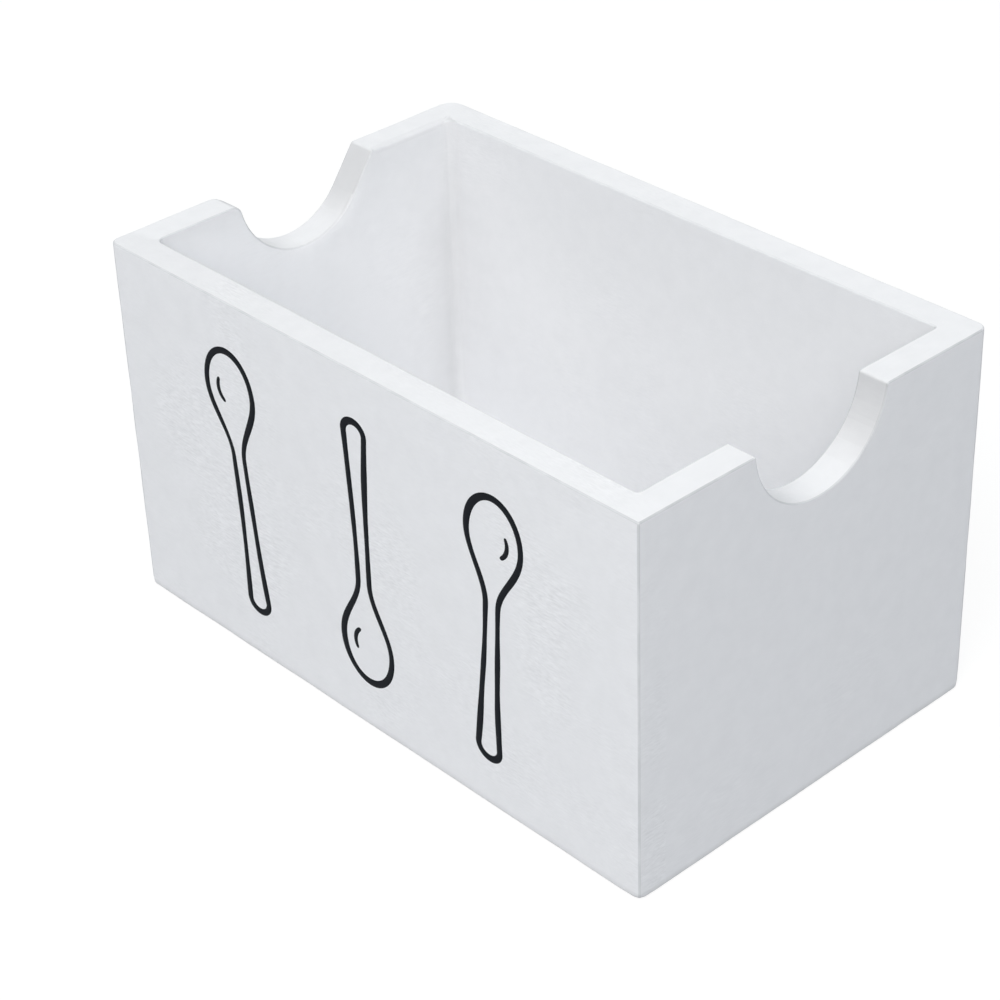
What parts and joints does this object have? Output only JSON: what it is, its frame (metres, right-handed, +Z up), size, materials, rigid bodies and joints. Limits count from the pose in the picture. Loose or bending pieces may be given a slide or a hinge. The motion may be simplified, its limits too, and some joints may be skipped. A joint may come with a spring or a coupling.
{
  "type": "sugar packet holder",
  "caption": "Open painted wooden box that holds a row of sugar packets, with a half-round finger notch in each short end and a plain spoon motif on the front.",
  "frame": {"origin": "centre of the underside, on the surface that the box stands on", "axes": "+X along the length, to the right as seen from the front; +Y from the decorated front to the back; +Z up"},
  "size_m": [0.136, 0.0854, 0.0758],
  "materials": {
    "white_painted_wood": "thin matt white paint with fine wood grain and brush streaks showing through",
    "brad_steel": "drawn bright steel",
    "wood_filler": "sanded wood filler under the same white paint",
    "black_paint": "flat black brushed paint"
  },
  "bodies": {
    "root": {"front_board": "white_painted_wood", "back_board": "white_painted_wood", "left_end_board": "white_painted_wood", "right_end_board": "white_painted_wood", "bottom_board": "white_painted_wood", "front_left_brads": "brad_steel", "front_right_brads": "brad_steel", "back_left_brads": "brad_steel", "back_right_brads": "brad_steel", "front_bottom_brads": "brad_steel", "back_bottom_brads": "brad_steel", "left_bottom_brads": "brad_steel", "right_bottom_brads": "brad_steel", "front_filler": "wood_filler", "back_filler": "wood_filler", "left_filler": "wood_filler", "right_filler": "wood_filler", "left_spoon_mark": "black_paint", "middle_spoon_mark": "black_paint", "right_spoon_mark": "black_paint"}
  },
  "joints": []
}
